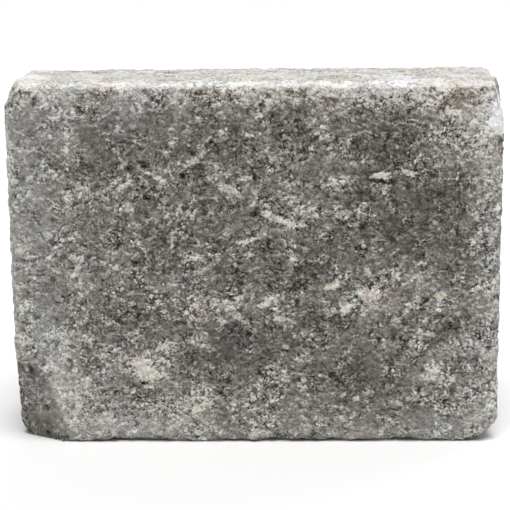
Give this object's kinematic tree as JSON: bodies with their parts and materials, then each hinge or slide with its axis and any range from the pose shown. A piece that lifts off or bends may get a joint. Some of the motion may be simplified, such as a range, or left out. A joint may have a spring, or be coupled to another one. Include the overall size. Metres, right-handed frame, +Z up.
{
  "type": "cobble paver",
  "caption": "Tumbled concrete cobble paver: a rectangular block with worn arrises, rounded corners and one broken corner, for laying in paths and drives.",
  "frame": {"origin": "on the floor under the middle of the block, the bottom centre of its box", "axes": "+X along the length, +Y through the thickness towards the bedding face, +Z up, as the block stands on one long edge"},
  "size_m": [0.16, 0.05, 0.12],
  "materials": {
    "tumbled_concrete": "matte"
  },
  "bodies": {
    "root": {"cobble_paver": "tumbled_concrete"}
  },
  "joints": []
}
